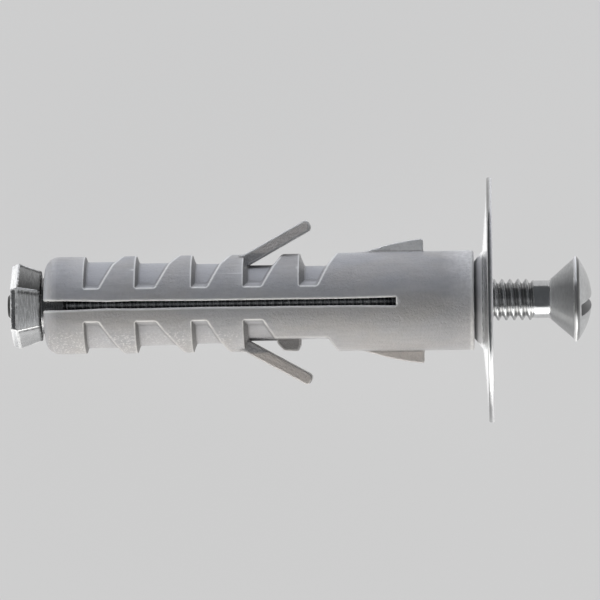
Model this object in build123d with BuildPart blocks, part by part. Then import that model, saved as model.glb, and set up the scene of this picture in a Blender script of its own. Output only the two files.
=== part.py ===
from build123d import *
import os
from math import asin, atan2, cos, degrees, hypot, radians, sin, sqrt, tan

os.makedirs("parts", exist_ok=True)

# Wall plug with its machine screw, cone nut and cup washer, lying at rest on
# the washer's rim and on the slit's lips at the plug's tip.  Millimetres, +Z
# up.  The origin is under the middle of the overall box, on the surface that
# the plug lies on.  Stations (s) are distances along the common axis from the
# plug's mouth, positive towards the screw's head.

# ---------------------------------------------------------------- dimensions
# screw: No. 8-32 raised countersunk machine screw
thread_r = 2.083
shank_r = 1.88
thread_end = 6.05
shank_end = 7.50
head_r = 4.24
head_cone_half = 41.0
cone_end = 9.86
head_rim_start = 10.06
head_rim_end = 10.30
head_top = 11.75
slot_width = 1.20
slot_floor = 10.65
slot_turn = 19.0
screw_tip = -46.62
screw_tip_r = 1.00

# cone nut: tapered hexagon with a round hub
nut_face = -46.15
nut_face_r = 4.00
nut_big = -45.50
nut_big_r = 4.32
nut_small = -43.20
nut_small_r = 3.48
nut_turn = 4.7
hub_r = 2.80
hub_end = -40.75
nut_bore_r = 2.12

# cup washer: stamped disc with a dished middle
washer_r = 12.25
washer_back = 1.35
washer_thick = 0.55
washer_edge = 0.20
washer_land = 11.00
brim_root = 0.87
brim_root_r = 4.90
cup_r = 3.85
cup_bottom = 0.03
washer_hole_r = 2.30

# expansion plug
plug_tip = -42.85
tip_round = 1.41
plug_r = 4.86
mouth_r = 4.97
mouth_edge = 0.22
recess_r = 3.62
hub_bore_r = 2.85
hub_bore_end = -38.50
screw_bore_r = 2.16
slit_end = -7.72
tip_slit_half = 0.45
lip = 1.66
ledge = 3.50
tongue_half = 1.70
fin_half = 0.65
tooth_half = 1.70
edge_round = 0.12

# --------------------------------------------------------------- resting pose
# The level surface touches the washer's rounded rim and, at the plug's tip,
# both rounded lips of the slit, which reach a little less far than the full
# circle would.
rim_s = washer_back + washer_edge
rim_reach = washer_r - washer_edge
tip_s = plug_tip + tip_round
tip_reach = plug_r - tip_round - (tip_slit_half + edge_round) ** 2 / (2 * (plug_r - edge_round))
run = rim_s - tip_s
rise = rim_reach - tip_reach
tilt = degrees(atan2(rise, run) + asin((washer_edge - tip_round) / hypot(rise, run)))
mouth_x = 17.219
mouth_z = tip_reach * cos(radians(tilt)) + tip_round - tip_s * sin(radians(tilt))

along = Vector(cos(radians(tilt)), 0, sin(radians(tilt)))
across = Vector(0, 1, 0)
upward = Vector(-sin(radians(tilt)), 0, cos(radians(tilt)))
mouth = Vector(mouth_x, 0, mouth_z)
axis_line = Axis(mouth, along)

# lengthways plane through the axis: x is the station, y is sideways and the
# plane's normal is the way that the slit faces.  It is the mould's parting
# plane.
LONG = Plane(origin=mouth, x_dir=along, z_dir=upward)


def station(s, x_dir=across):
    """Plane square to the axis at station s."""
    return Plane(origin=mouth + along * s, x_dir=x_dir, z_dir=along)


def reach(point):
    """Distance of a point from the common axis."""
    p = LONG.to_local_coords(point)
    return hypot(p.Y, p.Z)


# ------------------------------------------------------------- machine screw
cone_end_r = shank_r + (cone_end - shank_end) * tan(radians(head_cone_half))
dome_a = head_r - 0.05
dome_h = head_top - head_rim_end
dome_R = (dome_a**2 + dome_h**2) / (2 * dome_h)
dome_half = dome_a * 0.55
dome_mid = head_top - dome_R + sqrt(dome_R**2 - dome_half**2)
with BuildPart() as screw:
    with BuildSketch(LONG):
        with BuildLine():
            Polyline(
                (screw_tip, 0),
                (screw_tip, screw_tip_r),
                (screw_tip + thread_r - screw_tip_r, thread_r),
                (thread_end, thread_r),
                (thread_end + 0.22, shank_r),
                (shank_end, shank_r),
                (cone_end, cone_end_r),
                (head_rim_start, head_r),
                (head_rim_end - 0.03, head_r),
                (head_rim_end, dome_a),
            )
            ThreePointArc((head_rim_end, dome_a), (dome_mid, dome_half), (head_top, 0))
            Line((head_top, 0), (screw_tip, 0))
        make_face()
    revolve(axis=axis_line)
    # driving slot across the raised head
    slot_dir = upward * cos(radians(slot_turn)) - across * sin(radians(slot_turn))
    with BuildSketch(station(slot_floor, slot_dir)):
        Rectangle(2 * head_r + 2, slot_width)
    extrude(amount=3, mode=Mode.SUBTRACT)

screw.part.label = "machine_screw"
export_step(screw.part, "parts/machine_screw.step")

# ----------------------------------------------------------------- cone nut
with BuildPart() as nut:
    with BuildSketch(station(nut_face)):
        RegularPolygon(radius=nut_face_r, side_count=6, rotation=nut_turn)
    with BuildSketch(station(nut_big)):
        RegularPolygon(radius=nut_big_r, side_count=6, rotation=nut_turn)
    loft(ruled=True)
    with BuildSketch(station(nut_big)):
        RegularPolygon(radius=nut_big_r, side_count=6, rotation=nut_turn)
    with BuildSketch(station(nut_small)):
        RegularPolygon(radius=nut_small_r, side_count=6, rotation=nut_turn)
    loft(ruled=True)
    with BuildSketch(station(nut_small)):
        Circle(hub_r)
    extrude(amount=hub_end - nut_small)
    chamfer(nut.edges().filter_by(GeomType.CIRCLE).sort_by(axis_line)[-1], 0.2)
    # through bore, with a lead-in cone at the large end
    with BuildSketch(LONG):
        with BuildLine():
            Polyline(
                (nut_face - 1, 0),
                (nut_face - 1, nut_bore_r + 0.3),
                (nut_face, nut_bore_r + 0.3),
                (nut_face + 0.3, nut_bore_r),
                (hub_end + 1, nut_bore_r),
                (hub_end + 1, 0),
                close=True,
            )
        make_face()
    revolve(axis=axis_line, mode=Mode.SUBTRACT)

nut.part.label = "cone_nut"
export_step(nut.part, "parts/cone_nut.step")

# --------------------------------------------------------------- cup washer
washer_front = washer_back + washer_thick
seat = washer_thick * tan(radians(head_cone_half))
with BuildPart() as washer:
    with BuildSketch(LONG) as section:
        with BuildLine():
            # flat cup bottom, sloping wall, slightly conical brim and flat land
            Polyline(
                (cup_bottom, washer_hole_r),
                (cup_bottom, cup_r),
                (brim_root, brim_root_r),
                (washer_back, washer_land),
                (washer_back, washer_r),
                (washer_front, washer_r),
                (washer_front, washer_land - 0.04),
                (brim_root + 0.535, brim_root_r - 0.21),
                (cup_bottom + washer_thick, cup_r - 0.19),
                (cup_bottom + washer_thick, washer_hole_r + seat),
                close=True,
            )
        make_face()
        # bend radii of the stamping, outside and inside of each bend
        fillet(section.vertices().filter_by_position(Axis.Y, 3.4, 4.0), 0.25)
        fillet(section.vertices().filter_by_position(Axis.Y, 4.6, 5.0), 0.40)
        fillet(section.vertices().filter_by_position(Axis.Y, 12.2, 12.3), washer_edge)
    revolve(axis=axis_line)

washer.part.label = "cup_washer"
export_step(washer.part, "parts/cup_washer.step")

# ----------------------------------------------------------- expansion plug
# Notches of the saw-tooth body, seen square to the parting plane: first the
# wall that holds against pull-out, then the lip beside the slit and the ramp.
top_notches = [
    [(-38.78, lip), (-37.32, lip), (-35.98, 4.05), (-34.95, 5.00), (-34.2, 6.5), (-38.78, 6.5)],
    [(-33.65, lip), (-31.73, lip), (-30.38, 4.08), (-29.35, 5.00), (-28.6, 6.5), (-33.65, 6.5)],
    [(-28.05, lip), (-26.53, lip), (-25.28, 3.98), (-24.20, 5.00), (-23.6, 6.5), (-28.05, 6.5)],
    [(-22.91, lip), (-21.13, lip), (-20.00, 3.66), (-19.02, 5.00), (-18.6, 6.5), (-22.91, 6.5)],
    [(-17.33, lip), (-15.57, lip), (-14.56, 3.66), (-13.65, 5.00), (-12.9, 6.5), (-17.33, 6.5)],
]
low_notches = [
    [(-38.78, -lip), (-37.37, -lip), (-35.85, -3.80), (-35.00, -5.00), (-34.3, -6.5), (-38.78, -6.5)],
    [(-33.65, -lip), (-31.67, -lip), (-29.85, -3.85), (-28.90, -5.00), (-28.2, -6.5), (-33.65, -6.5)],
    [(-28.05, -lip), (-26.57, -lip), (-25.30, -3.75), (-24.35, -5.00), (-23.6, -6.5), (-28.05, -6.5)],
    [(-22.91, -lip), (-21.02, -lip), (-19.83, -ledge), (-14.56, -ledge), (-13.60, -5.00), (-12.9, -6.5), (-22.91, -6.5)],
]
# radius of the core left standing behind the notches, from each station on
core_steps = [(-39.5, 4.30), (-34.3, 4.12), (-28.7, 3.98), (-23.5, 3.78), (-18.4, 3.64), (-12.0, 0)]

# slit: station and half width, from beyond the tip to the square end
slit_shape = [(-44.0, tip_slit_half), (-40.4, tip_slit_half), (-36.4, 0.32), (-34.0, 0.365), (-31.5, 0.35),
              (-27.0, 0.305), (-24.0, 0.32), (-13.5, 0.325), (-10.7, 0.35), (slit_end, 0.41)]

with BuildPart() as notch_tool:
    for outline in top_notches + low_notches:
        with BuildSketch(LONG) as window:
            with BuildLine():
                Polyline(*outline, close=True)
            make_face()
            inner = window.vertices().filter_by(lambda v: abs(v.Y) < lip + 0.1)
            fillet(inner.sort_by(Axis.X)[0], 0.12)
            fillet(inner.sort_by(Axis.X)[-1], 0.30)
        extrude(amount=6, both=True)
    with BuildSketch(LONG):
        with BuildLine():
            steps = [(core_steps[0][0], 0)]
            for (s, r), (s_next, _) in zip(core_steps, core_steps[1:]):
                steps += [(s, r), (s_next, r)]
            steps.append((core_steps[-1][0], 0))
            Polyline(*steps, close=True)
        make_face()
    revolve(axis=axis_line, mode=Mode.SUBTRACT)

with BuildPart() as plug:
    # outer body of revolution, rounded at the tip and slightly wider at the mouth
    with BuildSketch(LONG):
        with BuildLine():
            Polyline((tip_s, plug_r), (-20.0, plug_r), (-11.0, 4.94), (-mouth_edge, mouth_r), (0, mouth_r - mouth_edge),
                     (0, 0), (plug_tip, 0), (plug_tip, plug_r - tip_round))
            CenterArc((tip_s, plug_r - tip_round), tip_round, 90, 90)
        make_face()
    revolve(axis=axis_line)
    # saw-tooth notches
    add(notch_tool.part, mode=Mode.SUBTRACT)
    # tooth that stands under the lower tongue
    with BuildSketch(LONG) as tooth:
        with BuildLine():
            Polyline((-19.80, -3.2), (-19.62, -4.10), (-19.00, -4.76), (-17.62, -4.86), (-17.33, -4.30), (-17.33, -3.2),
                     close=True)
        make_face()
        fillet(tooth.vertices().filter_by(lambda v: v.Y < -4), 0.2)
    extrude(amount=tooth_half, both=True)
    # locking tongues, bent out of the wall
    for k in (1, -1):
        with BuildSketch(LONG) as tongue:
            with BuildLine():
                Polyline(
                    (-23.30, 3.64 * k),
                    (-22.72, 3.64 * k),
                    (-16.05, 7.32 * k),
                    (-16.60, 8.31 * k),
                    (-22.90, 4.85 * k),
                    (-23.30, 4.80 * k),
                    close=True,
                )
            make_face()
            fillet(tongue.vertices().filter_by_position(Axis.X, -16.1, -16.0), 0.50)
            fillet(tongue.vertices().filter_by_position(Axis.X, -16.65, -16.55), 0.35)
            fillet(tongue.vertices().filter_by_position(Axis.X, -22.8, -22.65), 0.60)
        extrude(amount=tongue_half, both=True)
    # wedge fins that stop the plug from turning in its hole
    for k in (1, -1):
        with BuildSketch(LONG) as fin:
            with BuildLine():
                ThreePointArc((-11.9, 4.72 * k), (-8.9, 5.55 * k), (-5.02, 6.24 * k))
                Polyline((-5.02, 6.24 * k), (-5.02, 4.5 * k), (-11.9, 4.5 * k), (-11.9, 4.72 * k))
            make_face()
            fillet(fin.vertices().filter_by(lambda v: abs(v.Y) > 6), 0.2)
        extrude(amount=fin_half, both=True)
    # slit through both walls
    with BuildSketch(LONG):
        with BuildLine():
            Polyline(*([(s, h) for s, h in slit_shape] + [(s, -h) for s, h in reversed(slit_shape)]), close=True)
        make_face()
    extrude(amount=6, both=True, mode=Mode.SUBTRACT)
    # bore for the screw, wider where the nut's hub goes in
    with BuildSketch(LONG):
        with BuildLine():
            Polyline(
                (plug_tip - 1, 0),
                (plug_tip - 1, recess_r),
                (plug_tip, recess_r),
                (plug_tip + recess_r - hub_bore_r, hub_bore_r),
                (hub_bore_end, hub_bore_r),
                (hub_bore_end + 0.7, screw_bore_r),
                (1, screw_bore_r),
                (1, 0),
                close=True,
            )
        make_face()
    revolve(axis=axis_line, mode=Mode.SUBTRACT)
    # rounded lips along both mouths of the slit
    lips = plug.edges().filter_by(
        lambda e: all(
            reach(e @ t) > plug_r - 0.06 and abs(LONG.to_local_coords(e @ t).Y) < 0.5 for t in (0, 0.5, 1)
        )
    )
    fillet(lips, edge_round)

plug.part.label = "expansion_plug"
export_step(plug.part, "parts/expansion_plug.step")

# overall box, to place the origin under its middle
boxes = [p.part.bounding_box() for p in (screw, nut, washer, plug)]
low = [min(getattr(b.min, k) for b in boxes) for k in "XYZ"]
high = [max(getattr(b.max, k) for b in boxes) for k in "XYZ"]
print("tilt", round(tilt, 3), "mouth height", round(mouth_z, 3))
print("box", [round(v, 3) for v in low], [round(v, 3) for v in high])
print("move mouth_x by", round(-(low[0] + high[0]) / 2, 3))
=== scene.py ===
import math

import bmesh
import bpy
import numpy as np
from mathutils import Matrix, Vector


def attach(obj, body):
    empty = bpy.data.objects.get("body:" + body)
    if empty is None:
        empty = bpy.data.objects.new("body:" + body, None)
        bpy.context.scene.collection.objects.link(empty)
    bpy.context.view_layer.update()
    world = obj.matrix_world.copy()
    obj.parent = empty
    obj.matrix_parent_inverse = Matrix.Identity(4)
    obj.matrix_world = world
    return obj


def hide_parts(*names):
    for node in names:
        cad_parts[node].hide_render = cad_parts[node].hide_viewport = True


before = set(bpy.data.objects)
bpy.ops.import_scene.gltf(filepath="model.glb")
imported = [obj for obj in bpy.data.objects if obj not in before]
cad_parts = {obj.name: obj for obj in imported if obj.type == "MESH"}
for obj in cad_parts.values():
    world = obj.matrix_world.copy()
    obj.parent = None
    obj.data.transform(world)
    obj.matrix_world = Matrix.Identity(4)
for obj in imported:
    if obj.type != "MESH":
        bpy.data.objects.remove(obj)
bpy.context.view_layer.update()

scene = bpy.context.scene

# ------------------------------------------------------------------ the pose
# Local coordinates in millimetres: s along the common axis from the plug's
# mouth towards the screw's head, v sideways (world Y), w the way the slit faces.
WASHER_BACK, WASHER_EDGE, WASHER_R = 1.35, 0.20, 12.25
PLUG_TIP, TIP_ROUND, PLUG_R, TIP_SLIT, LIP_ROUND = -42.85, 1.41, 4.86, 0.45, 0.12
_run = (WASHER_BACK + WASHER_EDGE) - (PLUG_TIP + TIP_ROUND)
_reach = PLUG_R - TIP_ROUND - (TIP_SLIT + LIP_ROUND) ** 2 / (2 * (PLUG_R - LIP_ROUND))
_rise = (WASHER_R - WASHER_EDGE) - _reach
TILT = math.atan2(_rise, _run) + math.asin((WASHER_EDGE - TIP_ROUND) / math.hypot(_rise, _run))
MOUTH = Vector((17.219, 0, _reach * math.cos(TILT) + TIP_ROUND - (PLUG_TIP + TIP_ROUND) * math.sin(TILT)))
A = Vector((math.cos(TILT), 0, math.sin(TILT)))
Y = Vector((0, 1, 0))
N = Vector((-math.sin(TILT), 0, math.cos(TILT)))


def turn(p):
    """Local direction rows to world directions."""
    p = np.asarray(p, float)
    return p[:, :1] * np.array(A) + p[:, 1:2] * np.array(Y) + p[:, 2:3] * np.array(N)


def place(p):
    """Local (s, v, w) rows in mm to world metres."""
    return (np.array(MOUTH) + turn(p)) / 1000


# ------------------------------------------------------- distance field tools
def cut(a, b, k):
    """Intersection of two distance fields, with a rounding of radius k."""
    return np.minimum(-k, np.maximum(a, b)) + np.hypot(np.maximum(a + k, 0), np.maximum(b + k, 0))


def join(a, b, k):
    """Union of two distance fields, with a fillet of radius k."""
    return np.maximum(k, np.minimum(a, b)) - np.hypot(np.maximum(k - a, 0), np.maximum(k - b, 0))


def poly(points, x, y):
    """Signed distance to a closed polygon, negative inside."""
    x, y = np.broadcast_arrays(x, y)
    d = np.full(x.shape, 1e9)
    inside = np.zeros(x.shape, bool)
    for (x0, y0), (x1, y1) in zip(points, points[1:] + points[:1]):
        ex, ey = x1 - x0, y1 - y0
        wx, wy = x - x0, y - y0
        t = np.clip((wx * ex + wy * ey) / (ex * ex + ey * ey), 0, 1)
        d = np.minimum(d, (wx - ex * t) ** 2 + (wy - ey * t) ** 2)
        if ey:
            inside ^= ((y0 <= y) != (y1 <= y)) & (x < x0 + (y - y0) * ex / ey)
    return np.where(inside, -1, 1) * np.sqrt(d)


def rounded(points, radii, steps=5):
    """The points with their corners rounded: one radius for each point, 0 for a sharp corner or an end."""
    out = []
    n = len(points)
    for i, r in enumerate(radii):
        p = np.array(points[i], float)
        if not r:
            out.append(tuple(float(c) for c in p))
            continue
        u = np.array(points[i - 1], float) - p
        v = np.array(points[(i + 1) % n], float) - p
        u /= np.hypot(*u)
        v /= np.hypot(*v)
        half = math.acos(max(-1, min(1, float(u @ v)))) / 2
        reach = r / math.tan(half)
        c = p + (u + v) / np.hypot(*(u + v)) * r / math.sin(half)
        q0, q1 = p + u * reach - c, p + v * reach - c
        a0, a1 = math.atan2(q0[1], q0[0]), math.atan2(q1[1], q1[0])
        da = (a1 - a0 + math.pi) % (2 * math.pi) - math.pi
        for k in range(steps + 1):
            a = a0 + da * k / steps
            out.append((float(c[0] + r * math.cos(a)), float(c[1] + r * math.sin(a))))
    return out


def gradient(field, p, h=0.01):
    """Numerical gradient of a field at rows of points."""
    g = np.empty_like(p)
    for k in range(3):
        d = np.zeros(3)
        d[k] = h
        q0, q1 = p - d, p + d
        g[:, k] = (field(q1[:, 0], q1[:, 1], q1[:, 2]) - field(q0[:, 0], q0[:, 1], q0[:, 2])) / (2 * h)
    return g


def settle(field, p, rounds, most):
    """Moves points onto the field's zero surface, by no more than most in a round."""
    for _ in range(rounds):
        f = field(p[:, 0], p[:, 1], p[:, 2])
        g = gradient(field, p)
        move = -f[:, None] * g / np.maximum((g * g).sum(1), 0.05)[:, None]
        size = np.linalg.norm(move, axis=1)
        p = p + move * np.minimum(1, most / np.maximum(size, 1e-9))[:, None]
    return p


def surface(field, lo, hi, step):
    """Closed quad mesh of a field's zero surface: one vertex in each grid cell that the surface crosses."""
    ax = [np.arange(lo[k] - 2.37 * step, hi[k] + 3 * step, step) for k in range(3)]
    F = np.array(field(ax[0][:, None, None], ax[1][None, :, None], ax[2][None, None, :]), np.float32)
    F[F == 0] = 1e-6
    S = F < 0
    n = [len(a) for a in ax]
    cells = np.zeros((n[0] - 1, n[1] - 1, n[2] - 1), np.int8)
    for i in (0, 1):
        for j in (0, 1):
            for k in (0, 1):
                cells += S[i : n[0] - 1 + i, j : n[1] - 1 + j, k : n[2] - 1 + k]
    act = np.argwhere((cells > 0) & (cells < 8))
    index = np.full(cells.shape, -1, np.int64)
    index[act[:, 0], act[:, 1], act[:, 2]] = np.arange(len(act))
    corner = {}
    for i in (0, 1):
        for j in (0, 1):
            for k in (0, 1):
                corner[i, j, k] = F[act[:, 0] + i, act[:, 1] + j, act[:, 2] + k].astype(float)
    acc = np.zeros((len(act), 3))
    cnt = np.zeros(len(act))
    for c0 in corner:
        for k in range(3):
            if c0[k]:
                continue
            c1 = tuple(1 if m == k else c0[m] for m in range(3))
            f0, f1 = corner[c0], corner[c1]
            m = (f0 < 0) != (f1 < 0)
            t = f0 / np.where(m, f0 - f1, 1)
            for q in range(3):
                acc[:, q] += np.where(m, c0[q] + (t if q == k else 0), 0)
            cnt += m
    v = act + acc / cnt[:, None]
    v = np.stack([ax[k][0] + v[:, k] * step for k in range(3)], 1)
    quads = []
    for k in range(3):
        u, w = (k + 1) % 3, (k + 2) % 3
        a, b = [slice(None)] * 3, [slice(None)] * 3
        a[k], b[k] = slice(0, -1), slice(1, None)
        e = np.argwhere(S[tuple(a)] != S[tuple(b)])
        e = e[(e[:, u] > 0) & (e[:, w] > 0) & (e[:, u] < n[u] - 1) & (e[:, w] < n[w] - 1)]
        solid_below = S[e[:, 0], e[:, 1], e[:, 2]]
        q = []
        for du, dw in ((-1, -1), (0, -1), (0, 0), (-1, 0)):
            c = e.copy()
            c[:, u] += du
            c[:, w] += dw
            q.append(index[c[:, 0], c[:, 1], c[:, 2]])
        q = np.stack(q, 1)
        q[~solid_below] = q[~solid_below][:, ::-1]
        quads.append(q)
    return settle(field, v, 3, 0.5 * step), np.concatenate(quads)


def new_object(name, me):
    ob = bpy.data.objects.new(name, me)
    scene.collection.objects.link(ob)
    return ob


def field_mesh(name, field, lo, hi, step, tris):
    """Object whose mesh is the field's surface, thinned to about tris triangles, with exact smooth normals."""
    v, quads = surface(field, lo, hi, step)
    me = bpy.data.meshes.new(name)
    me.from_pydata(v.tolist(), [], quads.tolist())
    me.validate()
    ob = new_object(name, me)
    ratio = tris / max(1, 2 * len(quads))
    if ratio < 1:
        mod = ob.modifiers.new("thin", "DECIMATE")
        mod.ratio = ratio
        thin = bpy.data.meshes.new_from_object(ob.evaluated_get(bpy.context.evaluated_depsgraph_get()))
        ob.modifiers.clear()
        ob.data = thin
        bpy.data.meshes.remove(me)
        me = thin
        me.name = name
    co = np.empty(len(me.vertices) * 3, np.float32)
    me.vertices.foreach_get("co", co)
    p = settle(field, co.reshape(-1, 3).astype(float), 2, 0.03)
    g = gradient(field, p, 0.02)
    g /= np.maximum(np.linalg.norm(g, axis=1), 1e-9)[:, None]
    me.vertices.foreach_set("co", place(p).astype(np.float32).ravel())
    me.update()
    me.shade_smooth()
    me.normals_split_custom_set_from_vertices(turn(g).tolist())
    # how sharply the surface bends, outwards as positive, for the painted highlights on its edges and the painted shade
    # in its creases
    h = 0.14
    bend = -6 * field(p[:, 0], p[:, 1], p[:, 2])
    for k in range(3):
        for d in (-h, h):
            q = p.copy()
            q[:, k] += d
            bend += field(q[:, 0], q[:, 1], q[:, 2])
    paint(me, "edge", np.clip(bend / (h * h * 5.0), -1, 1))
    return ob, p, g


def paint(me, name, values, domain="POINT"):
    """Stores one number for each point or face, for the materials to read."""
    layer = me.attributes.new(name, "FLOAT", domain)
    layer.data.foreach_set("value", np.asarray(values, np.float32))


def add_mesh(name, verts, faces):
    """Object from local rows of points and faces."""
    me = bpy.data.meshes.new(name)
    me.from_pydata(np.asarray(verts, float).tolist(), [], [tuple(int(i) for i in f) for f in faces])
    me.update()
    return new_object(name, me)


def tidy(me, dist):
    """Merges coincident points, drops faces with no area and loose points, and turns all faces outwards."""
    bm = bmesh.new()
    bm.from_mesh(me)
    bmesh.ops.remove_doubles(bm, verts=bm.verts, dist=dist)
    bmesh.ops.dissolve_degenerate(bm, edges=bm.edges, dist=dist)
    bmesh.ops.delete(bm, geom=[v for v in bm.verts if not v.link_faces], context="VERTS")
    bmesh.ops.recalc_face_normals(bm, faces=bm.faces)
    bm.to_mesh(me)
    bm.free()


def to_world(ob):
    me = ob.data
    co = np.empty(len(me.vertices) * 3, np.float32)
    me.vertices.foreach_get("co", co)
    me.vertices.foreach_set("co", place(co.reshape(-1, 3)).astype(np.float32).ravel())
    me.update()


def say(ob):
    me = ob.data
    me.calc_loop_triangles()
    bm = bmesh.new()
    bm.from_mesh(me)
    open_edges = sum(1 for e in bm.edges if len(e.link_faces) != 2)
    print("MESH", ob.name, len(me.vertices), "vertices", len(me.loop_triangles), "triangles", open_edges, "open edges")
    bm.free()


# ------------------------------------------------------------------ the plug
LIPV, LEDGE = 1.66, 3.50
TOP = [
    [(-38.78, LIPV), (-37.32, LIPV), (-35.98, 4.05), (-34.95, 5.00), (-34.2, 6.5), (-38.78, 6.5)],
    [(-33.65, LIPV), (-31.73, LIPV), (-30.38, 4.08), (-29.35, 5.00), (-28.6, 6.5), (-33.65, 6.5)],
    [(-28.05, LIPV), (-26.53, LIPV), (-25.28, 3.98), (-24.20, 5.00), (-23.6, 6.5), (-28.05, 6.5)],
    [(-22.91, LIPV), (-21.13, LIPV), (-20.00, 3.66), (-19.02, 5.00), (-18.6, 6.5), (-22.91, 6.5)],
    [(-17.33, LIPV), (-15.57, LIPV), (-14.56, 3.66), (-13.65, 5.00), (-12.9, 6.5), (-17.33, 6.5)],
]
LOW = [
    [(-38.78, -LIPV), (-37.37, -LIPV), (-35.85, -3.80), (-35.00, -5.00), (-34.3, -6.5), (-38.78, -6.5)],
    [(-33.65, -LIPV), (-31.67, -LIPV), (-29.85, -3.85), (-28.90, -5.00), (-28.2, -6.5), (-33.65, -6.5)],
    [(-28.05, -LIPV), (-26.57, -LIPV), (-25.30, -3.75), (-24.35, -5.00), (-23.6, -6.5), (-28.05, -6.5)],
    [(-22.91, -LIPV), (-21.02, -LIPV), (-19.83, -LEDGE), (-14.56, -LEDGE), (-13.60, -5.00), (-12.9, -6.5), (-22.91, -6.5)],
]
WINDOWS = []
for k, outline in enumerate(TOP + LOW):
    radii = [0.14, 0.30] + [0.0] * (len(outline) - 2)
    if k < 8:
        radii[2] = 0.8
    else:
        radii[2], radii[3] = 0.25, 0.2
    WINDOWS.append(rounded(outline, radii))
DRAFT = 0.42
CORE_S = [-39.5, -34.3, -28.7, -23.5, -18.4, -12.0]
CORE_R = [4.30, 4.12, 3.98, 3.78, 3.64]
SLIT = [(-44.0, 0.45), (-40.4, 0.45), (-36.4, 0.32), (-34.0, 0.365), (-31.5, 0.35), (-27.0, 0.305), (-24.0, 0.32),
        (-13.5, 0.325), (-10.7, 0.35), (-7.72, 0.41)]
SLIT_OUTLINE = rounded(SLIT + [(s, -h) for s, h in reversed(SLIT)], [0] * 9 + [0.08, 0.08] + [0] * 9)
TOOTH = rounded([(-19.80, -3.2), (-19.62, -4.10), (-19.00, -4.76), (-17.62, -4.86), (-17.33, -4.30), (-17.33, -3.2)],
                [0, 0.2, 0.2, 0.2, 0.2, 0])
TONGUE = rounded([(-23.30, 3.64), (-22.72, 3.64), (-16.05, 7.32), (-16.60, 8.31), (-22.90, 4.85), (-23.30, 4.80)],
                 [0, 0.60, 0.50, 0.35, 0, 0])
_fin = [(-11.9, 4.72), (-11.1, 4.93), (-10.2, 5.18), (-8.9, 5.55), (-7.6, 5.86), (-6.3, 6.08), (-5.02, 6.24)]
FIN = rounded(_fin + [(-5.02, 4.5), (-11.9, 4.5)], [0] * 6 + [0.2, 0, 0])


def plug_field(s, v, w):
    r = np.hypot(v, w)
    body = r - np.interp(s, [-20.0, -11.0, -0.22], [PLUG_R, 4.94, 4.97])
    d = cut(body, PLUG_TIP - s, TIP_ROUND)
    d = cut(d, s + 0 * r, 0.22)
    # saw-tooth notches, with the core left standing behind them
    deep = np.maximum(PLUG_R - 0.1 - r, 0)
    # (each notch's steep wall and long lip lean outwards, its ramp hardly)
    window = None
    for k, outline in enumerate(WINDOWS):
        lean = (outline[-1][0] + DRAFT * deep - s) / math.hypot(1, DRAFT)
        p = cut(poly(outline, s, v) + 0.10 * deep, lean, 0.14)
        window = p if window is None else np.minimum(window, p)
    window = cut(window, (LIPV + DRAFT * deep - np.abs(v)) / math.hypot(1, DRAFT), 0.14)
    core = np.asarray(CORE_R)[np.clip(np.searchsorted(CORE_S, s) - 1, 0, 4)]
    notch = cut(window, core - r, 0.12)
    d = cut(d, -notch, 0.15)
    # tooth under the lower tongue, tongues and fins
    flank = np.abs(w)
    d = join(d, cut(poly(TOOTH, s, v) + 0 * r, flank - 1.70 + 0 * d, 0.12), 0.06)
    d = join(d, cut(poly(TONGUE, s, np.abs(v)) + 0 * r, flank - 1.70 + 0 * d, 0.14), 0.12)
    d = join(d, cut(poly(FIN, s, np.abs(v)) + 0 * r, flank - 0.65 + 0 * d, 0.12), 0.10)
    # slit through both walls, and the bore
    d = cut(d, -poly(SLIT_OUTLINE, s, v) + 0 * r, 0.17)
    bore = np.interp(s, [-43.85, -42.85, -42.08, -38.50, -37.81, 1.0], [3.62, 3.62, 2.85, 2.85, 2.16, 2.16]) - r
    return cut(d, bore + 0 * d, 0.05)


plug, _p, _g = field_mesh("plug_body", plug_field, (-42.85, -8.35, -5.0), (0.0, 8.35, 5.0), 0.115, 170000)
# the way that each point faces: along the axis, and flat as the sides of the fins do
paint(plug.data, "facing", _g[:, 0])
paint(plug.data, "flank", np.abs(_g[:, 2]))

# ------------------------------------------------------------------- the nut
NUT_TURN = math.radians(4.7)


def nut_field(s, v, w):
    # six flats on a taper, with a chamfered large end
    c30 = math.cos(math.radians(30))
    taper = (4.32 - 3.48) * c30 / 2.30
    bevel = (4.32 - 4.00) * c30 / 0.65
    side = face = None
    for k in range(6):
        a = NUT_TURN + math.radians(30 + 60 * k)
        across = v * math.cos(a) + w * math.sin(a)
        f = (across - 3.48 * c30 + taper * (s + 43.20)) / math.hypot(1, taper)
        side = f if side is None else cut(side, f, 0.05)
        f = (across - 4.32 * c30 - bevel * (s + 45.50)) / math.hypot(1, bevel)
        face = f if face is None else cut(face, f, 0.05)
    d = cut(side, face, 0.04)
    d = cut(d, -46.15 - s + 0 * d, 0.05)
    d = cut(d, s + 43.20 + 0 * d, 0.05)
    r = np.hypot(v, w)
    hub = cut(cut(r - 2.80, s + 40.75 + 0 * r, 0.02), (r - 2.60 + s + 40.75) / math.sqrt(2), 0.02)
    hub = np.maximum(hub, -44.5 - s + 0 * hub)
    d = join(d, hub, 0.08)
    bore = np.maximum(2.12 - r, (2.42 - r - (s + 46.15)) / math.sqrt(2))
    return cut(d, bore + 0 * d, 0.03)


nut, _p, _g = field_mesh("nut_body", nut_field, (-46.15, -4.4, -4.4), (-40.75, 4.4, 4.4), 0.06, 60000)


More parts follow.
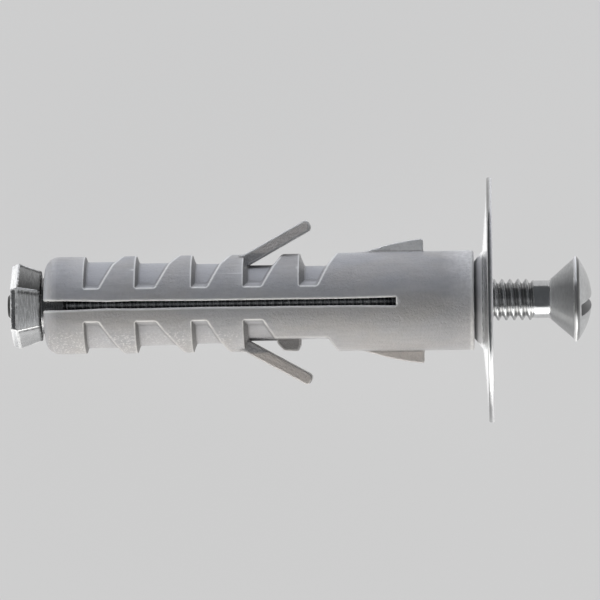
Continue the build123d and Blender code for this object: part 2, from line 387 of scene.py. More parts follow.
def nut_tones(p, g):
    """Painted light and shade on each face of the nut, shading from one corner of a flat to the next, and how near a
    corner or the small end is, for a painted dark line.
    """
    a = np.degrees(np.arctan2(g[:, 2], g[:, 1])) - 4.7
    flat = np.floor(a / 60).astype(int) % 6
    t = (np.degrees(np.arctan2(p[:, 2], p[:, 1])) - 4.7 - 60 * flat + 180) % 360 - 180
    t = np.clip(t / 60, 0, 1)
    # painted brightness of each flat at its first and last corner, and of each bevel and end
    first = np.array([0.70, 0.84, 0.95, 0.85, 0.80, 0.85])[flat]
    last = np.array([0.10, 1.55, 0.80, 0.95, 0.70, 1.10])[flat]
    power = np.array([0.8, 4.0, 1.0, 1.5, 1.0, 3.0])[flat]
    on_flats = first + (last - first) * t**power
    on_bevel = np.array([1.25, 0.62, 1.15, 1.05, 1.0, 1.1])[flat]
    tone = np.where(g[:, 0] > 0, on_flats, on_bevel)
    tone = np.where(g[:, 0] < -0.75, 0.85, tone)
    tone = np.where((g[:, 0] > 0.75) | (p[:, 0] > -43.1), 0.38, tone)
    r = np.hypot(p[:, 1], p[:, 2])
    # painted dark line beside each corner and along the small end
    away = t * math.radians(60) * r
    corner = np.exp(-(((away - 0.32) / 0.13) ** 2)) * ((g[:, 0] > 0) & (g[:, 0] < 0.6))
    end = np.exp(-(((p[:, 0] + 43.27) / 0.13) ** 2))
    return tone, np.maximum(corner, end) * (p[:, 0] < -43.05)


_tone, _shade = nut_tones(_p, _g)
paint(nut.data, "tone", _tone)
paint(nut.data, "shade", _shade)


# ---------------------------------------------------------- turned profiles
def profile_normals(profile, closed):
    """Outward normal at each point of a profile of (s, r), weighted by the length of the two runs beside it."""
    p = np.array(profile, float)
    n = len(p)
    seg = np.roll(p, -1, 0) - p
    out = np.stack([-seg[:, 1], seg[:, 0]], 1)
    if not closed:
        out[-1] = 0
    nrm = out + np.roll(out, 1, 0)
    return nrm / np.maximum(np.linalg.norm(nrm, axis=1), 1e-12)[:, None]


def nearest(profile, normals, s, r):
    """Distance from points to an open or closed profile, and the profile's normal there."""
    best = np.full(s.shape, 1e9)
    nn = np.zeros(s.shape + (2,))
    for i in range(len(profile) - 1):
        (s0, r0), (s1, r1) = profile[i], profile[i + 1]
        es, er = s1 - s0, r1 - r0
        L = es * es + er * er
        if L < 1e-12:
            continue
        t = np.clip(((s - s0) * es + (r - r0) * er) / L, 0, 1)
        d = np.hypot(s - s0 - es * t, r - r0 - er * t)
        m = d < best
        best = np.where(m, d, best)
        nn[m] = normals[i] * (1 - t[m])[:, None] + normals[i + 1] * t[m][:, None]
    return best, nn


# ---------------------------------------------------------------- the washer
THICK = 0.55
SEAT = THICK * math.tan(math.radians(41))
# flat cup bottom, sloping wall, slightly conical brim and flat land
WASHER = rounded(
    [(0.03, 2.30), (0.03, 3.85), (0.87, 4.90), (WASHER_BACK, 11.0), (WASHER_BACK, WASHER_R), (WASHER_BACK + THICK, WASHER_R),
     (WASHER_BACK + THICK, 10.96), (1.405, 4.69), (0.58, 3.66), (0.58, 2.30 + SEAT)],
    [0.03, 0.25, 0.40, 2.0, WASHER_EDGE, WASHER_EDGE, 2.0, 0.40, 0.25, 0.03],
    8,
)


def washer_mesh():
    around = 256
    m = len(WASHER)
    nrm = profile_normals(WASHER, True)
    verts, normals, faces = [], [], []
    for j in range(around):
        a = 2 * math.pi * j / around
        c, s_ = math.cos(a), math.sin(a)
        verts += [(s, r * c, r * s_) for s, r in WASHER]
        normals += [(ns, nr * c, nr * s_) for ns, nr in nrm]
    for j in range(around):
        b, c = j * m, ((j + 1) % around) * m
        for i in range(m):
            k = (i + 1) % m
            faces.append((b + i, c + i, c + k, b + k))
    return verts, normals, faces


verts, normals, faces = washer_mesh()
washer = add_mesh("washer_body", verts, faces)
_n = np.array(normals)
_c = np.array([verts[i] for i in faces[0]])
if np.cross(_c[1] - _c[0], _c[2] - _c[0]) @ _n[faces[0][0]] < 0:
    washer.data.flip_normals()
to_world(washer)
washer.data.shade_smooth()
washer.data.normals_split_custom_set_from_vertices(turn(_n).tolist())

# ----------------------------------------------------------------- the screw
PITCH, CREST = 0.79375, 2.083
TIP_S, END_S, END_R = -46.62, 6.10, 1.868
# one pitch of the 60 degree thread: distance from the crest and radius
_half = [(0.0, 2.083), (0.045, 2.083), (0.075, 2.066), (0.155, 1.927), (0.235, 1.789), (0.315, 1.650), (0.360, 1.624)]
FORM = _half + [(PITCH / 2, 1.620)] + [(PITCH - u, r) for u, r in reversed(_half[1:])]
DOME_A, DOME_H = 4.19, 1.45
DOME_R = (DOME_A**2 + DOME_H**2) / (2 * DOME_H)
DOME_C = 11.75 - DOME_R


def dome_s(r):
    return DOME_C + np.sqrt(DOME_R**2 - np.minimum(r, DOME_R) ** 2)


_cone = rounded(
    [(END_S, END_R), (END_S + 0.10, 1.88), (7.50, 1.88), (9.86, 3.9315), (10.06, 4.24), (10.27, 4.24), (10.30, DOME_A)],
    [0, 0, 0.30, 0.12, 0.06, 0.025, 0],
    6,
)
HEAD = _cone + [(float(dome_s(DOME_A * math.cos(t))), float(DOME_A * math.cos(t))) for t in np.linspace(0, math.pi / 2, 22)[1:]]
HEAD[-1] = (11.75, 0.0)
SLOT_TURN = math.radians(19)


def screw_mesh():
    around = 80
    per = len(FORM)
    turns = int((END_S - TIP_S) / PITCH) + 4
    first = 2.02 - PITCH * (int((2.02 - TIP_S) / PITCH) + 2)
    ang = 2 * np.pi * np.arange(around + 1) / around
    off = np.array([PITCH * t + u for t in range(turns) for u, _ in FORM])
    rad = np.array([r for _ in range(turns) for _, r in FORM])
    # the crest is at v = + at s = 2.02 and moves towards the head as the angle
    # goes on over w = +: a right-hand thread
    s = first + off[:, None] + PITCH * ang[None, :] / (2 * np.pi)
    r = np.repeat(rad[:, None], around + 1, 1)
    out = np.clip((s - (END_S - 0.6)) / 0.6, 0, 1)
    out = out * out * (3 - 2 * out)
    c = np.clip(s, TIP_S, END_S)
    r = np.minimum(r, 1.00 + (c - TIP_S))
    r = r * (1 - out) + END_R * out
    r = np.where(s >= END_S, END_R, r)
    r = np.where(s <= TIP_S, 1.00, r)
    live = (s[:-1, :-1] < END_S) & (s[1:, 1:] > TIP_S)
    rows = len(off)
    number = np.arange(rows)[:, None] * around + np.arange(around + 1)[None, :]
    # the last column is the first one, a pitch further on
    number[:, around] = np.minimum(np.arange(rows) + per, rows - 1) * around
    verts = np.stack([c, r * np.cos(ang), r * np.sin(ang)], 2)[:, :around].reshape(-1, 3)
    i, j = np.nonzero(live)
    faces = np.stack([number[i, j], number[i, j + 1], number[i + 1, j + 1], number[i + 1, j]], 1)
    verts, faces = verts.tolist(), faces.tolist()
    # flat tip, then shank, cone, rim and dome
    for line in ([(TIP_S, 0.0), (TIP_S, 0.5), (TIP_S, 1.0)], HEAD):
        b = len(verts)
        m = len(line)
        for t in ang[:-1]:
            verts += [(q[0], q[1] * math.cos(t), q[1] * math.sin(t)) for q in line]
        for j in range(around):
            c0, c1 = b + j * m, b + ((j + 1) % around) * m
            faces += [(c0 + i, c1 + i, c1 + i + 1, c0 + i + 1) for i in range(m - 1)]
    return verts, faces


verts, faces = screw_mesh()
screw = add_mesh("screw_body", verts, faces)
tidy(screw.data, 2e-5)


def slot_cutter():
    """Driving slot: straight walls that flare a little where they meet the dome."""
    u = np.array([0, -math.sin(SLOT_TURN), math.cos(SLOT_TURN)])
    side = np.array([0, math.cos(SLOT_TURN), math.sin(SLOT_TURN)])
    verts, faces = [], []
    xs = np.linspace(-4.6, 4.6, 47)
    for x in xs:
        top = float(dome_s(np.hypot(min(abs(x), 4.15), 0.6)))
        top = max(top, 10.75)
        for y, s in ((-0.60, 10.70), (-0.55, 10.65), (0.55, 10.65), (0.60, 10.70), (0.60, top - 0.05), (0.62, top - 0.015), (0.66, top + 0.02), (0.90, top + 0.20), (0.9, 12.6),
                     (-0.9, 12.6), (-0.90, top + 0.20), (-0.66, top + 0.02), (-0.62, top - 0.015), (-0.60, top - 0.05)):
            p = u * x + side * y
            verts.append((s, p[1], p[2]))
    m = 14
    for i in range(len(xs) - 1):
        for k in range(m):
            faces.append((i * m + k, i * m + (k + 1) % m, (i + 1) * m + (k + 1) % m, (i + 1) * m + k))
    faces.append(tuple(range(m)))
    faces.append(tuple(reversed(range((len(xs) - 1) * m, len(xs) * m))))
    ob = add_mesh("slot_cutter", verts, faces)
    tidy(ob.data, 1e-6)
    return ob


cutter = slot_cutter()
mod = screw.modifiers.new("slot", "BOOLEAN")
mod.operation, mod.solver, mod.object = "DIFFERENCE", "EXACT", cutter
cut_mesh = bpy.data.meshes.new_from_object(screw.evaluated_get(bpy.context.evaluated_depsgraph_get()))
screw.modifiers.clear()
old = screw.data
screw.data = cut_mesh
cut_mesh.name = "screw_body"
bpy.data.meshes.remove(old)
bpy.data.objects.remove(cutter)
tidy(screw.data, 1e-5)


def screw_normals(ob):
    """Exact normals on the turned part and flat ones in the slot, from the local coordinates."""
    me = ob.data
    me.shade_smooth()
    n = len(me.vertices)
    co = np.empty(n * 3, np.float32)
    me.vertices.foreach_get("co", co)
    co = co.reshape(-1, 3).astype(float)
    r = np.hypot(co[:, 1], co[:, 2])
    nrm = profile_normals(HEAD, False)
    nrm[0] = (0, 1)
    nrm[-1] = (1, 0)
    _, pn = nearest(HEAD, nrm, co[:, 0], r)
    c, s_ = co[:, 1] / np.maximum(r, 1e-9), co[:, 2] / np.maximum(r, 1e-9)
    vn = np.stack([pn[:, 0], pn[:, 1] * c, pn[:, 1] * s_], 1)
    loops = np.empty(len(me.loops), np.int32)
    me.loops.foreach_get("vertex_index", loops)
    start = np.empty(len(me.polygons), np.int32)
    total = np.empty(len(me.polygons), np.int32)
    me.polygons.foreach_get("loop_start", start)
    me.polygons.foreach_get("loop_total", total)
    centre = np.empty(len(me.polygons) * 3, np.float32)
    me.polygons.foreach_get("center", centre)
    fn = np.empty(len(me.polygons) * 3, np.float32)
    me.polygons.foreach_get("normal", fn)
    centre, fn = centre.reshape(-1, 3).astype(float), fn.reshape(-1, 3).astype(float)
    side = centre[:, 1] * math.cos(SLOT_TURN) + centre[:, 2] * math.sin(SLOT_TURN)
    cr = np.hypot(centre[:, 1], centre[:, 2])
    away, _ = nearest(HEAD, nrm, centre[:, 0], cr)
    head = centre[:, 0] > END_S + 0.002
    slot = head & (away > 0.012) & (np.abs(side) < 0.95) & (centre[:, 0] > 10.5)
    tip = centre[:, 0] < TIP_S + 1e-4
    ln = np.zeros((len(loops), 3))
    face_of = np.repeat(np.arange(len(start)), total)
    exact = head[face_of] & ~slot[face_of]
    ln[exact] = vn[loops[exact]]
    flat = slot[face_of] | tip[face_of]
    ln[flat] = fn[face_of[flat]]
    paint(me, "slot", slot.astype(float), "FACE")
    return ln, int(slot.sum())


_ln, _slots = screw_normals(screw)
to_world(screw)
_set = np.abs(_ln).sum(1) > 0
_w = turn(_ln)
_w[~_set] = 0
screw.data.shade_smooth()
screw.data.normals_split_custom_set(_w.tolist())

for ob in (plug, nut, washer, screw):
    say(ob)
print("SLOT FACES", _slots)


# --------------------------------------------------------------- materials
class Tree:
    """Small helper to write node trees."""

    def __init__(self, name):
        self.m = bpy.data.materials.new(name)
        self.m.use_nodes = True
        self.t = self.m.node_tree
        self.t.nodes.clear()
        self.out = self.t.nodes.new("ShaderNodeOutputMaterial")
        self.p = self.t.nodes.new("ShaderNodeBsdfPrincipled")
        self.t.links.new(self.p.outputs[0], self.out.inputs[0])

    def node(self, kind, **sets):
        n = self.t.nodes.new(kind)
        for k, v in sets.items():
            if k in n.inputs:
                n.inputs[k].default_value = v
            else:
                setattr(n, k, v)
        return n

    def link(self, a, b):
        self.t.links.new(a, b)

    def local(self):
        """Position in local millimetres: x along the axis, y sideways, z the way the slit faces."""
        tc = self.node("ShaderNodeTexCoord")
        m = self.node("ShaderNodeMapping", vector_type="TEXTURE")
        m.inputs["Location"].default_value = tuple(c / 1000 for c in MOUTH)
        m.inputs["Rotation"].default_value = (0, -TILT, 0)
        m.inputs["Scale"].default_value = (0.001, 0.001, 0.001)
        self.link(tc.outputs["Object"], m.inputs["Vector"])
        return m.outputs["Vector"]

    def parts(self, p):
        """The local position's s, v and w, and its distance from the axis."""
        xyz = self.node("ShaderNodeSeparateXYZ")
        self.link(p, xyz.inputs[0])
        radius = self.node("ShaderNodeVectorMath", operation="LENGTH")
        self.link(self.stretch(p, (0.0, 1.0, 1.0)), radius.inputs[0])
        return xyz.outputs[0], xyz.outputs[1], xyz.outputs[2], radius.outputs["Value"]

    def read(self, name):
        """A number painted on the mesh."""
        return self.node("ShaderNodeAttribute", attribute_name=name).outputs["Fac"]

    def stretch(self, vec, scale, rotation=(0, 0, 0)):
        m = self.node("ShaderNodeMapping")
        m.inputs["Scale"].default_value = scale
        m.inputs["Rotation"].default_value = rotation
        self.link(vec, m.inputs["Vector"])
        return m.outputs["Vector"]

    def noise(self, vec, scale, detail=3, rough=0.5, distortion=0.0):
        n = self.node("ShaderNodeTexNoise", Scale=scale, Detail=detail, Roughness=rough, Distortion=distortion)
        self.link(vec, n.inputs["Vector"])
        return n.outputs["Fac"]

    def remap(self, val, a, b, c, d):
        n = self.node("ShaderNodeMapRange")
        for k, x in zip(("From Min", "From Max", "To Min", "To Max"), (a, b, c, d)):
            n.inputs[k].default_value = x
        self.link(val, n.inputs["Value"])
        return n.outputs["Result"]

    def math(self, op, a, b=None):
        n = self.node("ShaderNodeMath", operation=op)
        for k, x in enumerate((a, b)):
            if x is None:
                continue
            if isinstance(x, (int, float)):
                n.inputs[k].default_value = x
            else:
                self.link(x, n.inputs[k])
        return n.outputs[0]

    def mix(self, fac, a, b, mode="MIX"):
        n = self.node("ShaderNodeMix", data_type="RGBA", blend_type=mode)
        for key, x in ((0, fac), (6, a), (7, b)):
            if isinstance(x, (int, float)):
                n.inputs[key].default_value = x
            elif isinstance(x, tuple):
                n.inputs[key].default_value = (*x, 1.0)
            else:
                self.link(x, n.inputs[key])
        return n.outputs[2]

    def bump(self, height, distance, strength=1.0, normal=None):
        n = self.node("ShaderNodeBump", Strength=strength, Distance=distance)
        self.link(height, n.inputs["Height"])
        if normal is not None:
            self.link(normal, n.inputs["Normal"])
        return n.outputs["Normal"]


def nylon():
    t = Tree("nylon")
    p = t.local()
    s, v, w, radius = t.parts(p)
    edge, facing = t.read("edge"), t.read("facing")
    # slow cool and warm clouding of the moulding
    cloud = t.noise(t.stretch(p, (0.16, 0.3, 0.3)), 1.0, 2, 0.5, 0.4)
    base = t.mix(t.remap(cloud, 0.40, 0.60, 0, 1), (0.405, 0.410, 0.430), (0.430, 0.420, 0.415))
    # the tongues are a little browner; their flat sides, and the thin fins still more, are painted paler: painted light
    # standing in for light shining through the thin nylon, strongest on the upper fin
    out = t.math("ABSOLUTE", v)
    standing = t.remap(out, 4.85, 5.1, 0.0, 1.0)
    fins = t.math("MULTIPLY", standing, t.remap(s, -13.0, -12.0, 0.0, 1.0))
    flank = t.remap(t.read("flank"), 0.35, 0.75, 0.0, 1.0)
    base = t.mix(t.math("MULTIPLY", standing, 0.6), base, (0.43, 0.41, 0.395))
    base = t.mix(t.math("MULTIPLY", standing, t.math("MULTIPLY", flank, 0.90)), base, (0.86, 0.81, 0.77))
    base = t.mix(t.math("MULTIPLY", fins, t.math("MULTIPLY", flank, t.remap(v, -5.0, 5.0, 0.10, 0.98))), base, (0.97, 0.965, 0.94))
    # painted light at the mouth, strongest at the upper side, and a painted highlight along its rounded edge
    wave = t.math("MULTIPLY", t.math("SUBTRACT", cloud, 0.5), 4.0)
    mouth_light = t.remap(t.math("ADD", s, wave), -3.0, -0.3, 0.0, 0.90)
    base = t.mix(mouth_light, base, t.mix(t.remap(v, -1.0, 3.4, 0.0, 1.0), (0.58, 0.58, 0.59), (0.97, 0.97, 0.98)))
    rim = t.math("MULTIPLY", t.remap(s, -0.50, -0.25, 0.0, 0.9), t.remap(t.math("ABSOLUTE", v), 0.8, 2.4, 0.25, 1.0))
    base = t.mix(rim, base, (0.97, 0.97, 0.97))
    # fine mottling and flow marks
    fine = t.noise(p, 2.6, 5, 0.65)
    calm = t.remap(standing, 0.0, 1.0, 1.0, 0.35)
    base = t.mix(t.math("MULTIPLY", t.remap(fine, 0.32, 0.68, 0.0, 0.50), calm), base, (0.33, 0.33, 0.34))
    flow = t.noise(t.stretch(p, (0.25, 1.6, 1.6)), 1.6, 3, 0.55)
    base = t.mix(t.math("MULTIPLY", t.remap(flow, 0.35, 0.65, 0.0, 0.30), calm), base, (0.52, 0.52, 0.525))
    # pale speckles painted in a patch on the lower side near the tip: painted glints of the grazing light there
    speckle = t.remap(t.noise(p, 4.6, 2, 0.6), 0.53, 0.64, 0.0, 0.55)
    patch = t.math("MULTIPLY", t.remap(v, -2.0, -3.2, 0.0, 1.0), t.remap(t.math("ADD", s, wave), -21.0, -26.0, 0.0, 1.0))
    base = t.mix(t.math("MULTIPLY", speckle, patch), base, (0.80, 0.80, 0.79))
    # smooth cores behind the notches
    base = t.mix(t.remap(radius, 4.55, 4.35, 0.0, 0.5), base, (0.47, 0.48, 0.51))
    # painted shade on the tooth under the lower tongue, which the tongue shadows
    tooth = t.math("MULTIPLY", t.remap(v, -3.5, -3.7, 0.0, 1.0), t.remap(v, -5.1, -4.9, 0.0, 1.0))
    tooth = t.math("MULTIPLY", tooth, t.math("MULTIPLY", t.remap(s, -20.0, -19.8, 0.0, 1.0), t.remap(s, -17.1, -17.3, 0.0, 1.0)))
    base = t.mix(t.math("MULTIPLY", tooth, 0.8), base, (0.27, 0.265, 0.26))
    # painted highlights on the rounded edges (weaker on the lower ramps), painted shade in the inner corners
    edge_highlight = t.math("MULTIPLY", t.remap(edge, 0.12, 0.70, 0.0, 0.95), t.remap(v, -2.5, -2.0, 0.40, 1.0))
    base = t.mix(edge_highlight, base, (0.78, 0.78, 0.77))
    base = t.mix(t.remap(edge, -0.10, -0.7, 0.0, 0.35), base, (0.16, 0.155, 0.15))
    # painted shade on the steep walls of the notches
    wall = t.math("MULTIPLY", t.remap(facing, 0.40, 0.75, 0.0, 0.85), t.remap(s, -12.0, -13.0, 0.0, 1.0))
    base = t.mix(wall, base, (0.15, 0.148, 0.145))
    # painted warm cast of the lower light on the lower side
    base = t.mix(t.remap(v, 1.0, -2.5, 0.0, 1.0), base, t.mix(1.0, base, (1.0, 0.972, 0.955), "MULTIPLY"))
    t.link(base, t.p.inputs["Base Color"])
    rough = t.noise(p, 6.0, 3, 0.6)
    t.link(t.remap(rough, 0.3, 0.7, 0.36, 0.52), t.p.inputs["Roughness"])
    t.p.inputs["IOR"].default_value = 1.5
    t.p.inputs["Specular IOR Level"].default_value = 0.6
    grit = t.noise(p, 4.2, 4, 0.7)
    sweep = t.noise(t.stretch(p, (1.6, 0.5, 0.5)), 2.2, 2, 0.5)
    n = t.bump(sweep, 0.00006, 0.5)
    n = t.bump(grit, 0.00013, 0.8, n)
    t.link(n, t.p.inputs["Normal"])
    return t.m


def nut_finish(t, p, col, rough):
    """Flats in painted light and shade, with painted highlights along the corners here and there beside a painted dark
    line.
    """
    # painted light and shade on each flat
    col = t.mix(1.0, col, t.read("tone"), "MULTIPLY")
    patchy = t.noise(p, 2.2, 3, 0.6)
    # painted dark line beside the corners and along the small end
    dullness_and_painted_light = t.math("MULTIPLY", t.read("shade"), t.remap(patchy, 0.36, 0.50, 0.30, 0.95))
    col = t.mix(dullness_and_painted_light, col, (0.07, 0.07, 0.07))
    s, v, w, radius = t.parts(p)
    # painted highlights along the corners, less metallic and rougher there
    edge_highlight = t.math("MULTIPLY", t.remap(t.read("edge"), 0.10, 0.38, 0.0, 0.9), t.remap(patchy, 0.62, 0.42, 0.35, 1.0))
    edge_highlight = t.math("MULTIPLY", edge_highlight, t.remap(s, -43.55, -43.40, 1.0, 0.0))
    col = t.mix(edge_highlight, col, (0.92, 0.92, 0.92))
    t.link(t.math("SUBTRACT", 1.0, t.math("MULTIPLY", edge_highlight, 0.6)), t.p.inputs["Metallic"])
    return col, t.math("ADD", rough, t.math("MULTIPLY", edge_highlight, 0.12))


def screw_finish(t, p, col, rough):
    """Very dark cut end, rougher thread roots in painted shade, turned cone in painted shade, rim painted pale at top
    and bottom as a highlight, a painted dark reflection beside it, and painted shade in the driving slot.
    """
    s, v, w, radius = t.parts(p)
    end = t.remap(s, -46.10, -46.22, 0.0, 1.0)
    root = t.math("MULTIPLY", t.remap(radius, 1.98, 1.70, 0.0, 1.0), t.remap(s, 6.0, 5.8, 0.0, 1.0))
    root = t.math("MULTIPLY", root, t.remap(s, -0.5, 0.5, 0.0, 0.70))
    cone = t.math("MULTIPLY", t.remap(s, 7.55, 7.75, 0.0, 1.0), t.remap(s, 9.95, 9.85, 0.0, 1.0))
    beside = t.math("ABSOLUTE", v)
    rim = t.math("MULTIPLY", t.remap(s, 9.90, 9.97, 0.0, 1.0), t.remap(s, 10.24, 10.20, 0.0, 1.0))
    step = t.math("MULTIPLY", t.remap(s, 10.21, 10.25, 0.0, 1.0), t.remap(s, 10.52, 10.44, 0.0, 1.0))
    slot = t.read("slot")
    # painted shade on the cone, stronger on the lower side
    col = t.mix(t.math("MULTIPLY", cone, t.remap(v, -3.2, 0.5, 0.55, 0.16)), col, (0.25, 0.25, 0.25))
    # painted shade in the thread roots
    col = t.mix(root, col, (0.30, 0.30, 0.30))
    col = t.mix(end, col, (0.05, 0.05, 0.05))
    # painted shade on the lower side of the shank
    under = t.math("MULTIPLY", t.remap(v, -1.1, -2.0, 0.0, 0.52), t.remap(s, 6.0, 5.8, 0.0, 1.0))
    col = t.mix(under, col, (0.30, 0.30, 0.30))
    # painted shade towards the crown of the dome
    col = t.mix(t.remap(s, 10.9, 11.6, 0.0, 0.45), col, (0.42, 0.42, 0.42))
    # painted highlight on the rim at top and bottom, painted shade in its middle, less metallic there
    col = t.mix(rim, col, t.mix(t.remap(beside, 1.2, 1.9, 0.0, 1.0), (0.25, 0.25, 0.25), (0.97, 0.97, 0.97)))
    # painted dark reflection on the step beside the rim, graded by side
    col = t.mix(t.math("MULTIPLY", step, t.remap(v, -2.4, -1.0, 0.45, 0.85)), col, (0.08, 0.08, 0.08))
    # painted shade in the driving slot
    col = t.mix(slot, col, (0.44, 0.44, 0.445))
    for mask, more in ((end, 0.30), (cone, 0.20), (rim, 0.28), (slot, 0.30), (root, 0.15)):
        rough = t.math("ADD", rough, t.math("MULTIPLY", mask, more))
    t.link(t.math("SUBTRACT", 1.0, t.math("MULTIPLY", rim, 0.75)), t.p.inputs["Metallic"])
    return col, rough


def washer_finish(t, p, col, rough):
    """The drawn cup and the rim's front edge are rougher, less metallic and painted paler than the brim, as painted
    light; the rim's back edge and the bend of the cup carry painted shade.
    """
    s, v, w, radius = t.parts(p)
    cup = t.remap(radius, 5.0, 4.7, 0.0, 1.0)
    front = t.math("MULTIPLY", t.remap(radius, 11.90, 12.0, 0.0, 1.0), t.remap(s, 1.60, 1.80, 0.0, 1.0))
    back = t.math("MULTIPLY", t.remap(radius, 11.90, 12.0, 0.0, 1.0), t.remap(s, 1.66, 1.56, 0.0, 1.0))
    dullness_and_painted_light = t.math("MAXIMUM", cup, front)
    # painted light: cup and rim front painted paler
    col = t.mix(t.math("MULTIPLY", dullness_and_painted_light, 0.8), col, (0.86, 0.86, 0.87))
    # painted shade along the rim's back edge
    col = t.mix(t.math("MULTIPLY", back, 0.6), col, (0.30, 0.30, 0.30))
    # painted shade in the bend at the cup's bottom
    bend = t.math("MULTIPLY", cup, t.remap(s, 0.42, 0.15, 0.0, 0.75))
    col = t.mix(bend, col, (0.12, 0.12, 0.12))
    bare = t.math("ADD", t.math("MULTIPLY", cup, 0.38), t.math("MULTIPLY", front, 0.55))
    t.link(t.math("SUBTRACT", 1.0, bare), t.p.inputs["Metallic"])
    return col, t.math("ADD", rough, t.math("MULTIPLY", dullness_and_painted_light, 0.20))


def zinc(name, base, rough, streak, streak_scale, depth, marks, finish):
    """Bright zinc over worked steel: streak says along which local axis the marks run, marks how much they show."""
    t = Tree(name)
    p = t.local()
    t.p.inputs["Metallic"].default_value = 1.0
    lines = t.noise(t.stretch(p, streak), streak_scale, 4, 0.6)
    cloud = t.noise(p, 1.1, 3, 0.5)
    col = t.mix(t.remap(cloud, 0.35, 0.65, 0, 1), tuple(0.92 * c for c in base), base)
    col = t.mix(t.remap(lines, 0.35, 0.65, 0.0, marks), col, tuple(0.62 * c for c in base))
    dullness_and_painted_light = t.math("ADD", t.remap(lines, 0.3, 0.7, rough[0], rough[1]), t.remap(cloud, 0.3, 0.7, -0.03, 0.03))
    col, dullness_and_painted_light = finish(t, p, col, dullness_and_painted_light)
    t.link(col, t.p.inputs["Base Color"])
    t.link(dullness_and_painted_light, t.p.inputs["Roughness"])
    pits = t.noise(p, 9.0, 3, 0.6)
    n = t.bump(lines, depth, 0.8)
    n = t.bump(pits, 0.000004, 0.5, n)
    t.link(n, t.p.inputs["Normal"])
    return t.m


plug_mat = nylon()
nut_mat = zinc("zinc_nut", (0.78, 0.785, 0.79), (0.20, 0.36), (7.0, 0.7, 0.7), 1.6, 0.000016, 0.75, nut_finish)
screw_mat = zinc("zinc_screw", (0.74, 0.745, 0.75), (0.14, 0.24), (3.0, 0.8, 0.8), 2.5, 0.000004, 0.35, screw_finish)
washer_mat = zinc("zinc_washer", (0.76, 0.765, 0.77), (0.13, 0.22), (1.0, 1.0, 1.0), 2.0, 0.000006, 0.30, washer_finish)

for ob, mat, node, body, slot_name in (
    (plug, plug_mat, "expansion_plug", "plug", "plug_nylon"),
    (screw, screw_mat, "machine_screw", "screw", "screw_steel"),
    (nut, nut_mat, "cone_nut", "nut", "nut_steel"),
    (washer, washer_mat, "cup_washer", "washer", "washer_steel"),
):
    ob.data.materials.clear()
    ob.data.materials.append(mat)
    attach(ob, body)
    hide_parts(node)

# ------------------------------------------------------------------- camera
TURN, LEAN, FAR = math.radians(0.785), math.radians(2.0), 567.0
view = N * math.cos(LEAN) + A * math.sin(LEAN)
side = A * math.cos(LEAN) - N * math.sin(LEAN)
right = side * math.cos(TURN) - Y * math.sin(TURN)
up = side * math.sin(TURN) + Y * math.cos(TURN)
aim = (MOUTH + A * -17.40 + up * 0.25) / 1000
cam_data = bpy.data.cameras.new("camera")
cam = bpy.data.objects.new("camera", cam_data)
scene.collection.objects.link(cam)
cam_data.sensor_width = 36.0
cam_data.lens = 36.0 * FAR / 60.0
cam_data.clip_start, cam_data.clip_end = 0.01, 10.0
rot = Matrix((right, up, view)).transposed().to_4x4()
cam.matrix_world = Matrix.Translation(aim + view * (FAR / 1000)) @ rot
scene.camera = cam

# ------------------------------------------------------------ floor and light
me = bpy.data.meshes.new("floor")
R_ = 1.6
me.from_pydata([(-R_, -R_, 0), (R_, -R_, 0), (R_, R_, 0), (-R_, R_, 0)], [], [(0, 1, 2, 3)])
floor = new_object("floor", me)
fm = bpy.data.materials.new("floor_pale")
fm.use_nodes = True
ft = fm.node_tree
ft.nodes.clear()
fo = ft.nodes.new("ShaderNodeOutputMaterial")
add = ft.nodes.new("ShaderNodeAddShader")
em = ft.nodes.new("ShaderNodeEmission")
em.inputs["Color"].default_value = (1, 1, 1, 1)
em.inputs["Strength"].default_value = 0.57
df = ft.nodes.new("ShaderNodeBsdfDiffuse")
df.inputs["Color"].default_value = (0.10, 0.10, 0.10, 1)
ft.links.new(em.outputs[0], add.inputs[0])
ft.links.new(df.outputs[0], add.inputs[1])
ft.links.new(add.outputs[0], fo.inputs[0])
me.materials.append(fm)


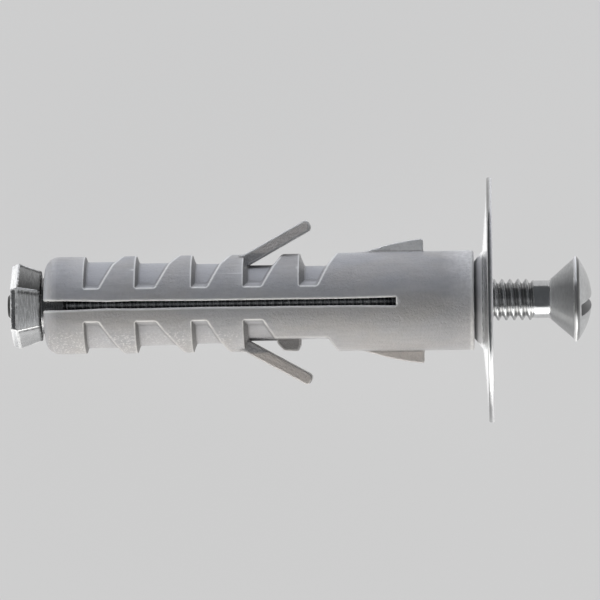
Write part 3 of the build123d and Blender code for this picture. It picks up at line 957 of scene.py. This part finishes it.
def panel(name, at, towards, width, height, level, tint=(1, 1, 1), glossy=True, diffuse=True):
    """Soft rectangular light at a place in metres, with a given brightness."""
    ld = bpy.data.lights.new(name, "AREA")
    ld.color = tint
    ld.shape = "RECTANGLE"
    ld.size, ld.size_y = width, height
    ld.energy = level * math.pi * width * height
    ob = bpy.data.objects.new(name, ld)
    scene.collection.objects.link(ob)
    ob.location = at
    ob.rotation_euler = (Vector(towards) - Vector(at)).to_track_quat("-Z", "Y").to_euler()
    ob.visible_glossy = glossy
    ob.visible_diffuse = diffuse
    ob.visible_camera = False
    return ob


panel("light_low", (0.0, -0.22, 0.060), (0, 0, 0.060), 0.9, 0.12, 3.3, (1.0, 0.99, 0.96))
panel("light_low_upper", (0.0, -0.22, 0.155), (0, 0, 0.155), 0.9, 0.07, 1.6, diffuse=False)
panel("light_high", (0.0, 0.24, 0.055), (0, 0, 0.055), 0.7, 0.11, 3.2, (0.95, 0.97, 1.05), glossy=False)
panel("light_left", (-0.26, 0.0, 0.055), (0, 0, 0.055), 0.4, 0.11, 1.3, glossy=False)
panel("light_head", (0.28, 0.0, 0.055), (0, 0, 0.055), 0.4, 0.11, 1.8, glossy=False)
panel("light_right", (0.10, -0.044, 0.27), (-0.0285, 0, 0.004), 0.14, 0.14, 0.4, diffuse=False)
# light tables flush with the floor, seen only in polished metal
panel("table_left", (-0.165, 0.0, 0.00003), (-0.165, 0.0, 1), 0.27, 0.5, 0.6, diffuse=False)
panel("table_low", (-0.0175, -0.131, 0.00003), (-0.0175, -0.131, 1), 0.025, 0.236, 0.6, diffuse=False)
panel("table_low_head", (0.0225, -0.1495, 0.00003), (0.0225, -0.1495, 1), 0.055, 0.199, 0.6, diffuse=False)
panel("table_under", (0.009, 0.0, 0.00003), (0.009, 0.0, 1), 0.020, 0.026, 0.6, diffuse=False)

world = bpy.data.worlds.new("world")
scene.world = world
world.use_nodes = True
bg = world.node_tree.nodes["Background"]
bg.inputs["Color"].default_value = (0.9, 0.95, 1.0, 1)
bg.inputs["Strength"].default_value = 0.10

scene.view_settings.view_transform = "Standard"
